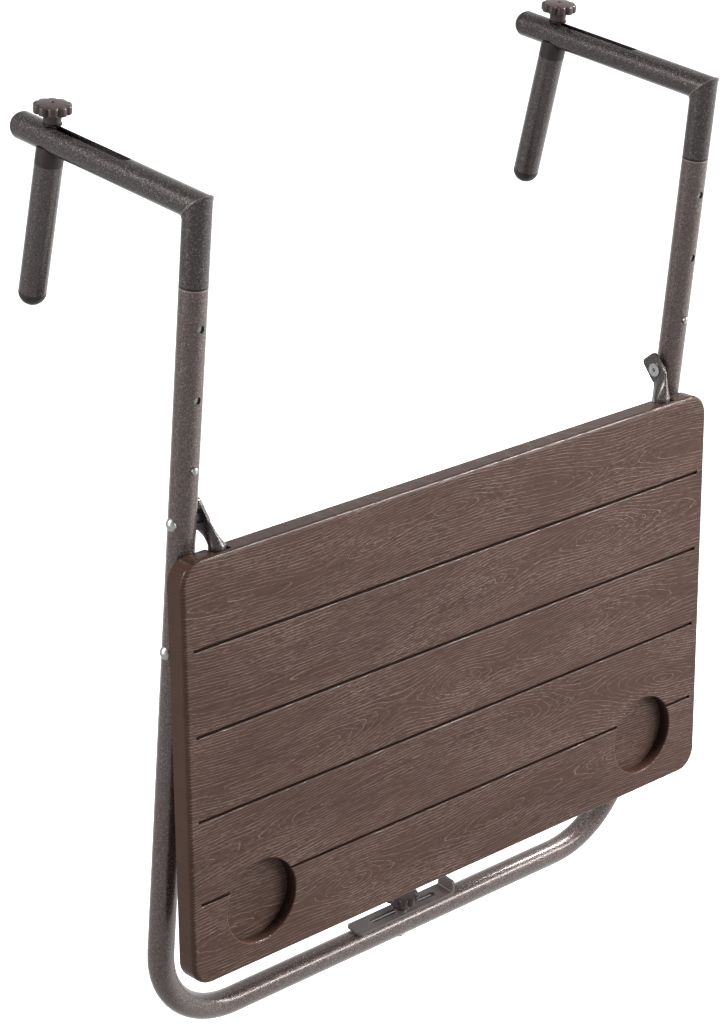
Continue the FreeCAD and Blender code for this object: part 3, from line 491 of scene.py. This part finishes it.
def wood_grain_plastic(name, finish):
    """Moulded plastic embossed with wood grain whose lines are painted lighter as sheen, with a
    smoother rim, painted shade along its rear edge and painted shade in its grooves and cup
    recesses.
    """
    material, tree, shader = empty_material(name)
    grain = WoodGrain(tree, finish)
    lines, fibre, flank = grain.lines(), grain.noise("fibre"), grain.flank
    inner = grain.inner()
    groove = grain.grooves(inner)

    streaked = blended(tree, share(tree, fibre, 0.30, 0.70), rgba(finish.shade), rgba(finish.base))
    clouded = blended(tree, share(tree, grain.noise("clouds"), 0.3, 0.75, 0.0, 0.5), streaked,
                      rgba(finish.base))
    # Painted shade darkens the rim along the rear edge.
    rear_edge = rising(tree, grain.run, grain.REAR_EDGE)
    rim = blended(tree, rear_edge, scaled(finish.side, 0.6), rgba(finish.side))
    ground = blended(tree, flank, clouded, rim)
    # The grain lines are painted lighter, as sheen on their ridges, and fainter on the flank.
    shown = product(tree, lines, share(tree, flank, 0.0, 1.0, 0.66, 0.12))
    lined = blended(tree, shown, ground, rgba(finish.ridge))
    # Painted shade darkens the grooves and the foot of the cup walls.
    groove_shade = product(tree, groove, 0.9)
    cup_wall_shade = product(tree, grain.cup_walls(inner), 0.6)
    recess_shade = maths(tree, "MAXIMUM", groove_shade, cup_wall_shade)
    tint = blended(tree, recess_shade, lined, scaled(finish.shade, 1 / 3))
    tree.links.new(tint, shader.inputs["Base Color"])

    shader.inputs["Specular IOR Level"].default_value = finish.specular
    face_gloss = share(tree, lines, 0.0, 1.0, finish.gloss, finish.gloss - 0.06)
    clean_gloss = maths(tree, "SUBTRACT", face_gloss, product(tree, flank, 0.32))
    gloss = maths(tree, "MAXIMUM", clean_gloss, groove_shade)
    tree.links.new(gloss, shader.inputs["Roughness"])
    height = maths(tree, "ADD", product(tree, lines, 0.8), product(tree, fibre, 0.4))
    faded = product(tree, height, share(tree, flank, 0.0, 1.0, 1.0, 0.2))
    relief(tree, shader, faded, finish.depth)
    return material


def satin_coat(name, base, rough):
    """Smooth, slightly cloudy satin coat of the flat strips."""
    material, tree, shader = empty_material(name)
    point = object_point(tree)
    pools = noise(tree, point, 120.0, 3.0, 0.55)
    skin = noise(tree, point, 1400.0, 2.0, 0.6)
    tint = blended(tree, share(tree, pools, 0.3, 0.75), rgba(base), scaled(base, 1.25))
    tree.links.new(tint, shader.inputs["Base Color"])
    shader.inputs["Metallic"].default_value = 0.35
    gloss = share(tree, skin, 0.25, 0.75, rough - 0.05, rough + 0.08)
    tree.links.new(gloss, shader.inputs["Roughness"])
    relief(tree, shader, skin, 0.02 * MILLI)
    return material


def moulded_plastic(name, base, rough):
    """Satin moulded plastic with a fine spark-eroded skin."""
    material, tree, shader = empty_material(name)
    point = object_point(tree)
    skin = noise(tree, point, 1 / (0.6 * MILLI), 2.0, 0.6)
    patches = noise(tree, point, 45.0, 3.0, 0.55)
    lighter = rgba([part * 1.5 + 0.002 for part in base])
    tint = blended(tree, share(tree, patches, 0.3, 0.8), rgba(base), lighter)
    gloss = share(tree, patches, 0.25, 0.75, rough - 0.06, rough + 0.08)
    tree.links.new(tint, shader.inputs["Base Color"])
    tree.links.new(gloss, shader.inputs["Roughness"])
    relief(tree, shader, skin, 0.02 * MILLI)
    return material


def plated_metal(name, base, rough):
    """Plated or bare metal with faint drawing marks and handling haze."""
    material, tree, shader = empty_material(name)
    point = object_point(tree)
    haze = noise(tree, point, 210.0, 4.0, 0.6)
    scuff = noise(tree, stretched(tree, point, (900.0, 900.0, 140.0)), 1.0, 3.0, 0.7)
    tint = blended(tree, share(tree, haze, 0.35, 0.75), scaled(base, 0.72), rgba(base))
    tree.links.new(tint, shader.inputs["Base Color"])
    shader.inputs["Metallic"].default_value = 1.0
    gloss = share(tree, scuff, 0.2, 0.8, rough - 0.07, rough + 0.12)
    tree.links.new(gloss, shader.inputs["Roughness"])
    relief(tree, shader, scuff, 0.015 * MILLI)
    return material


def threaded_metal(name, base, rough, pitch):
    """Plated metal with the turns of a thread round the upright direction."""
    material = plated_metal(name, base, rough)
    tree = material.node_tree
    height = add(tree, "ShaderNodeSeparateXYZ", {"Vector": object_point(tree)}).outputs["Z"]
    turns = product(tree, maths(tree, "PINGPONG", maths(tree, "DIVIDE", height, pitch), 0.5), 2.0)
    relief(tree, tree.nodes["Principled BSDF"], turns, pitch / 2)
    return material


def dress(node_names, material):
    """One finish for several CAD nodes."""
    for name in node_names:
        slots = cad[name].material_slots
        if not slots:
            cad[name].data.materials.append(material)
        for slot in slots:
            slot.material = material


def both_sides(*names):
    """Names of the nodes of the left side, then of the right side."""
    return [side + "_" + name for side in SIDES for name in names]


def settings(context):
    """The scene's settings of the bar table."""
    return context.scene.bar_table


class BARTABLE_OT_tubes(Operator):
    """Coats the frame, hooks, posts, sub-frame and brace."""
    bl_idname = "bar_table.tubes"
    bl_label = "Coat the tubes"

    def execute(self, context):
        finish = settings(context).tube
        leg_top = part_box("u_frame")[1].z
        # Painted highlight just under the legs' top lip.
        dress(["u_frame"], hammered_coat("hammered_coat", finish, lip=leg_top))
        low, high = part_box("left_hook")
        # Painted shade over the hooks' cut ends and a painted highlight on their mitre welds.
        hook_coat = hammered_coat("hammered_coat_hook", finish, finish.hook, finish.hook_glint,
                                  cut_end=low.z, corner=Vector((0, low.y, high.z)))
        dress(both_sides("hook"), hook_coat)
        dress(both_sides("post_tube"), hammered_coat("hammered_coat_post", finish, finish.post))
        dress(["panel_frame", "support_brace"],
              hammered_coat("hammered_coat_small_tube", finish, finish.small))
        dress(["spacer_plate", "panel_straps"],
              satin_coat("satin_strip_coat", finish.strip, finish.strip_gloss))
        return {"FINISHED"}


class BARTABLE_OT_top(Operator):
    """Gives the moulded top its embossed wood grain."""
    bl_idname = "bar_table.top"
    bl_label = "Finish the top"

    def execute(self, context):
        dress(["table_top"], wood_grain_plastic("wood_grain_plastic", settings(context).top))
        return {"FINISHED"}


class BARTABLE_OT_fittings(Operator):
    """Finishes the plastic and metal fittings."""
    bl_idname = "bar_table.fittings"
    bl_label = "Finish the fittings"

    def execute(self, context):
        plastic = settings(context).plastic
        steel = settings(context).steel
        dress(["brace_catches"], moulded_plastic("black_plastic", plastic.black, rough=0.34))
        dress(both_sides("post_saddle", "hook_cap", "post_plug"),
              moulded_plastic("plug_plastic", plastic.brown, rough=0.38))
        dress(["upper_spacers", "lower_spacers"],
              moulded_plastic("bush_plastic", plastic.bush, rough=0.42))
        dress(["upper_rivets", "lower_rivets", "strap_screws", "catch_screws", "spacer_washer"]
              + both_sides("lock_button"), plated_metal("plated_steel", steel.bright, rough=0.30))
        dress(both_sides("post_washer"), plated_metal("blackened_steel", steel.dark, rough=0.34))
        dress(["spacer_stud"] + both_sides("post_stud"),
              threaded_metal("threaded_steel", steel.bright, 0.28, steel.thread))
        dress(both_sides("hook_sleeve"), plated_metal("sleeve_steel", steel.sleeve, rough=0.36))
        dress(both_sides("clip_spring"), plated_metal("spring_steel", steel.sleeve, rough=0.28))
        dress(both_sides("knob_insert") + ["spacer_knob_insert"],
              plated_metal("brass", steel.brass, rough=0.30))
        return {"FINISHED"}


# New pieces.

def only(piece):
    """Selects and activates just one piece."""
    bpy.ops.object.select_all(action="DESELECT")
    piece.select_set(True)
    bpy.context.view_layer.objects.active = piece


def pick(piece, kind, test):
    """In edit mode, selects just the vertices or faces that pass a test."""
    bpy.ops.mesh.select_mode(type={"verts": "VERT", "faces": "FACE"}[kind])
    bpy.ops.mesh.select_all(action="DESELECT")
    mesh = bmesh.from_edit_mesh(piece.data)
    for part in getattr(mesh, kind):
        if test(part):
            part.select_set(True)
    mesh.select_flush(True)
    bmesh.update_edit_mesh(piece.data)


def own_copy(piece, name, shift=(0, 0, 0)):
    """Copy of a piece with its own mesh, moved by a distance."""
    made = piece.copy()
    made.data = piece.data.copy()
    made.name = made.data.name = name
    made.data.transform(Matrix.Translation(shift))
    bpy.context.scene.collection.objects.link(made)
    return made


# How far towards its deepest each point of a half lobe lies, from groove to crest.
HALF_LOBE = (1.0, 0.52, 0.16, 0.03, 0.0)


class LobedTurning:
    """Upright stack of rings round an axis, each of them lobed as much as it is asked to be."""

    def __init__(self, centre, radius, low, high, lobes, flute):
        self.centre, self.lobes, self.flute = centre, lobes, flute
        self.points = lobes * 2 * (len(HALF_LOBE) - 1)
        bpy.ops.object.select_all(action="DESELECT")
        bpy.ops.mesh.primitive_cylinder_add(vertices=self.points, radius=radius, depth=high - low,
                                            location=(centre.x, centre.y, (low + high) / 2))
        self.piece = bpy.context.object
        bpy.ops.object.transform_apply(location=True, rotation=True, scale=True)
        bpy.ops.object.mode_set(mode="EDIT")
        for side in (1, -1):
            self.shape(side, radius, 1.0)

    def cap(self, side):
        """The end face on the upper or lower side."""
        return lambda face: len(face.verts) == self.points and face.normal.z * side > 0.5

    def step(self, point):
        """Place of a point in its half lobe, 0 in a groove."""
        angle = math.atan2(point.co.y - self.centre.y, point.co.x - self.centre.x)
        whole = self.points // self.lobes
        place = round(angle / FULL_TURN * self.points) % whole
        return min(place, whole - place)

    def shape(self, side, radius, waviness):
        """Gives the end ring on one side its radius and its lobes."""
        bpy.ops.mesh.select_mode(type="FACE")
        for place, share_of_flute in enumerate(HALF_LOBE):
            mesh = bmesh.from_edit_mesh(self.piece.data)
            face = next(face for face in mesh.faces if self.cap(side)(face))
            ring = {point.index for point in face.verts if self.step(point) == place}
            sample = next(point for point in face.verts if point.index in ring)
            now = math.hypot(sample.co.x - self.centre.x, sample.co.y - self.centre.y)
            wanted = radius - self.flute * share_of_flute * waviness
            pick(self.piece, "verts", lambda point: point.index in ring)
            times = wanted / now
            middle = (self.centre.x, self.centre.y, sample.co.z)
            bpy.ops.transform.resize(value=(times, times, 1), center_override=middle)

    def ring(self, side, radius, height, waviness):
        """Draws the end on one side out to a new ring."""
        pick(self.piece, "faces", self.cap(side))
        mesh = bmesh.from_edit_mesh(self.piece.data)
        now = next(face for face in mesh.faces if self.cap(side)(face)).calc_center_median().z
        move = {"value": (0, 0, height - now)}
        bpy.ops.mesh.extrude_region_move(TRANSFORM_OT_translate=move)
        self.shape(side, radius, waviness)

    def finish(self, name):
        """Turns the faces outward, smooths the shape and names it."""
        bpy.ops.mesh.select_all(action="SELECT")
        bpy.ops.mesh.normals_make_consistent(inside=False)
        bpy.ops.object.mode_set(mode="OBJECT")
        bpy.ops.object.shade_smooth_by_angle(angle=math.radians(38))
        self.piece.name = self.piece.data.name = name
        return self.piece


def model_knob(node, sizes):
    """Lobed hand knob at the place of a CAD knob."""
    low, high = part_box(node)
    centre = (low + high) / 2
    radius = (high.y - low.y) / 2
    rim_low = high.z - sizes.crown - sizes.rim
    rim_high = high.z - sizes.crown
    edge = sizes.rim / 5
    turning = LobedTurning(centre, radius, rim_low + edge / 2, rim_high - edge, sizes.lobes,
                           sizes.flute)

    # Radius, height and waviness of the rings: from the rim up to the mould mark, then from the
    # rim down to the hub and its bore.
    upper = ((radius - edge * 0.25, rim_high - edge * 0.42, 0.97),
             (radius - edge * 0.85, rim_high, 0.90),
             (radius * 0.78, rim_high + sizes.crown * 0.45, 0.45),
             (radius * 0.55, rim_high + sizes.crown * 0.80, 0.12),
             (radius * 0.30, rim_high + sizes.crown, 0.0),
             (sizes.dimple, rim_high + sizes.crown, 0.0),
             (sizes.dimple * 0.85, rim_high + sizes.crown * 0.35, 0.0))
    lower = ((radius - edge / 2, rim_low, 0.95),
             (sizes.core, rim_low, 0.0),
             (sizes.core * 0.98, rim_low + sizes.core_depth, 0.0),
             (sizes.neck, rim_low + sizes.core_depth, 0.0),
             (sizes.neck, rim_low, 0.0),
             (sizes.foot, low.z, 0.0),
             (sizes.insert, low.z, 0.0),
             (sizes.insert, low.z + sizes.insert_depth, 0.0),
             (sizes.blind_radius, low.z + sizes.insert_depth, 0.0),
             (sizes.blind_radius, low.z + sizes.blind, 0.0))
    for side, rings in ((1, upper), (-1, lower)):
        for ring in rings:
            turning.ring(side, *ring)
    return turning.finish(node + "_lobed")


def loose_lumps(piece):
    """Points of each separate lump of a mesh."""
    mesh = bmesh.new()
    mesh.from_mesh(piece.data)
    lumps, seen = [], set()
    for start in mesh.verts:
        if start.index in seen:
            continue
        lump, waiting = [], [start]
        seen.add(start.index)
        while waiting:
            point = waiting.pop()
            lump.append(point.co.copy())
            for edge in point.link_edges:
                other = edge.other_vert(point)
                if other.index not in seen:
                    seen.add(other.index)
                    waiting.append(other)
        lumps.append(lump)
    mesh.free()
    return lumps


def cut_recesses(node, sizes, outward):
    """Copy of a node of screws with a cross recess cut into every head."""
    piece = own_copy(cad[node], node + "_recessed")
    only(piece)
    bpy.ops.object.mode_set(mode="EDIT")
    bpy.ops.mesh.select_all(action="SELECT")
    bpy.ops.mesh.remove_doubles(threshold=0.002 * MILLI)
    bpy.ops.object.mode_set(mode="OBJECT")
    turn = outward.to_track_quat("Z", "Y").to_matrix().to_4x4()
    arm = Matrix.Diagonal((sizes.span, sizes.slot, sizes.deep * 2, 1))
    cutters = []
    for lump in loose_lumps(piece):
        top = max(point.dot(outward) for point in lump)
        middle = sum(lump, Vector()) / len(lump)
        head = middle + outward * (top - middle.dot(outward))
        for quarter in (0, 1):
            bpy.ops.object.select_all(action="DESELECT")
            bpy.ops.mesh.primitive_cube_add(size=1)
            cutter = bpy.context.object
            cross = Matrix.Rotation(quarter * FULL_TURN / 4, 4, "Z")
            cutter.data.transform(Matrix.Translation(head) @ turn @ cross @ arm)
            cutters.append(cutter)
    for cutter in cutters:
        only(piece)
        carve = piece.modifiers.new("recess", "BOOLEAN")
        carve.operation = "DIFFERENCE"
        carve.solver = "EXACT"
        carve.object = cutter
        bpy.ops.object.modifier_apply(modifier=carve.name)
        bpy.data.objects.remove(cutter)
    bpy.ops.object.shade_smooth_by_angle(angle=math.radians(35))
    return piece


class BARTABLE_OT_knobs(Operator):
    """Models the lobed hand knobs of the posts and the wall spacer."""
    bl_idname = "bar_table.knobs"
    bl_label = "Model the hand knobs"

    def execute(self, context):
        plastic = moulded_plastic("knob_plastic", settings(context).plastic.knob, rough=0.30)
        first = "left_post_knob"
        model = model_knob(first, settings(context).knob)
        model.data.materials.append(plastic)
        bodies = {"left_post_knob": "left_hand_knob", "right_post_knob": "right_hand_knob",
                  "spacer_knob": "spacer_hand_knob"}
        for node, body in bodies.items():
            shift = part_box(node)[0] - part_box(first)[0]
            knob = model if node == first else own_copy(model, node + "_lobed", shift)
            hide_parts(node)
            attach(knob, body)
        return {"FINISHED"}


class BARTABLE_OT_screws(Operator):
    """Cuts the cross recesses of the screws under the top."""
    bl_idname = "bar_table.screws"
    bl_label = "Cut the screws' recesses"

    def execute(self, context):
        outward = level_turn.inverted() @ Vector((0, 0, -1))
        for node in ("strap_screws", "catch_screws"):
            screws = cut_recesses(node, settings(context).screw, outward)
            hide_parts(node)
            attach(screws, "panel")
        return {"FINISHED"}


# Stage.

def soft_light(name, place, target, size, power, mirrored=True):
    """Area light that looks at a point. It may be kept out of reflections."""
    data = bpy.data.lights.new(name, "AREA")
    data.shape = "RECTANGLE"
    data.size = size[0]
    data.size_y = size[1]
    data.energy = power
    light = bpy.data.objects.new(name, data)
    bpy.context.scene.collection.objects.link(light)
    light.location = place
    light.visible_camera = False
    light.visible_glossy = mirrored
    light.rotation_euler = (Vector(target) - Vector(place)).to_track_quat("-Z", "Y").to_euler()


# The camera's own directions and place, fitted to the photograph.
CAMERA_RIGHT = Vector((0.73586, -0.67346, 0.07044))
CAMERA_UP = Vector((0.24657, 0.36339, 0.89842))
CAMERA_BACK = Vector((-0.63064, -0.64374, 0.43346))
CAMERA_PLACE = Vector((-1.7527, -1.7026, 0.8198))

# Way from the camera to the backdrop, level.
BACKDROP_WAY = Vector((0.98, 0.17, 0))


class BARTABLE_OT_stage(Operator):
    """Builds the studio floor, the lights and the camera."""
    bl_idname = "bar_table.stage"
    bl_label = "Set the stage"

    def execute(self, context):
        stage = settings(context).stage
        bpy.ops.object.select_all(action="DESELECT")
        bpy.ops.mesh.primitive_plane_add(size=240.0, location=(0, 0, stage.floor_z))
        floor = context.object
        floor.name = "studio_floor"
        material, tree, shader = empty_material("studio_floor")
        shader.inputs["Emission Color"].default_value = WHITE
        shader.inputs["Emission Strength"].default_value = stage.glow
        patches = noise(tree, object_point(tree), 0.8, 2.0)
        tint = blended(tree, patches, scaled(stage.floor, 0.97), rgba(stage.floor))
        tree.links.new(tint, shader.inputs["Base Color"])
        shader.inputs["Roughness"].default_value = 0.85
        floor.data.materials.append(material)
        floor.visible_diffuse = floor.visible_glossy = False

        world = bpy.data.worlds.new("studio")
        context.scene.world = world
        world.use_nodes = True
        sky = world.node_tree
        direction = add(sky, "ShaderNodeTexCoord").outputs["Generated"]
        rise = add(sky, "ShaderNodeSeparateXYZ", {"Vector": direction}).outputs["Z"]
        behind = along(sky, direction, BACKDROP_WAY)
        round_about = share(sky, behind, -0.05, 0.55, stage.room, stage.horizon)
        above = share(sky, rise, 0.02, 0.35, 1.0, stage.zenith / stage.horizon)
        backdrop = sky.nodes["Background"]
        backdrop.inputs["Color"].default_value = WHITE
        sky.links.new(product(sky, round_about, above), backdrop.inputs["Strength"])

        middle = (0, 0, -0.35)
        soft_light("front_light", (2.4, -2.4, 0.9), middle, (3.2, 3.0), stage.key, mirrored=False)
        soft_light("rim_light", (2.3, -2.1, 0.85), middle, (2.4, 0.40), stage.rim)
        soft_light("left_light", (-2.2, 1.2, 1.4), middle, (1.0, 1.0), stage.fill * 2)
        soft_light("side_light", (-2.9, 0.8, 0.2), middle, (1.5, 2.0), stage.fill)
        soft_light("overhead_light", (1.7, -0.36, 1.4), (1.7, -0.36, 0), (1.6, 0.20), stage.strip)

        data = bpy.data.cameras.new("camera")
        data.lens = stage.lens
        data.sensor_width = 36.0
        data.clip_start = 0.05
        camera = bpy.data.objects.new("camera", data)
        context.scene.collection.objects.link(camera)
        turn = Matrix((CAMERA_RIGHT, CAMERA_UP, CAMERA_BACK)).transposed().to_4x4()
        camera.matrix_world = Matrix.Translation(CAMERA_PLACE) @ turn
        context.scene.camera = camera
        context.scene.view_settings.view_transform = "Standard"
        return {"FINISHED"}


class BARTABLE_PT_panel(Panel):
    """Lists the bar table's operators."""
    bl_label = "Bar table"
    bl_idname = "BARTABLE_PT_panel"
    bl_space_type = "VIEW_3D"
    bl_region_type = "UI"
    bl_category = "Bar table"

    def draw(self, context):
        for operator in OPERATORS:
            self.layout.operator(operator.bl_idname)


OPERATORS = (BARTABLE_OT_tubes, BARTABLE_OT_top, BARTABLE_OT_fittings, BARTABLE_OT_knobs,
             BARTABLE_OT_screws, BARTABLE_OT_stage)
GROUPS = (TubeFinish, TopFinish, PlasticFinish, SteelFinish, KnobSizes, ScrewSizes, StageSettings,
          TableSettings)


def register():
    for group in GROUPS + OPERATORS + (BARTABLE_PT_panel,):
        bpy.utils.register_class(group)
    bpy.types.Scene.bar_table = PointerProperty(type=TableSettings)


def unregister():
    del bpy.types.Scene.bar_table
    for group in reversed(GROUPS + OPERATORS + (BARTABLE_PT_panel,)):
        bpy.utils.unregister_class(group)


def main():
    register()
    bpy.ops.bar_table.tubes()
    bpy.ops.bar_table.top()
    bpy.ops.bar_table.fittings()
    bpy.ops.bar_table.knobs()
    bpy.ops.bar_table.screws()
    bpy.ops.bar_table.stage()


if __name__ == "__main__":
    main()
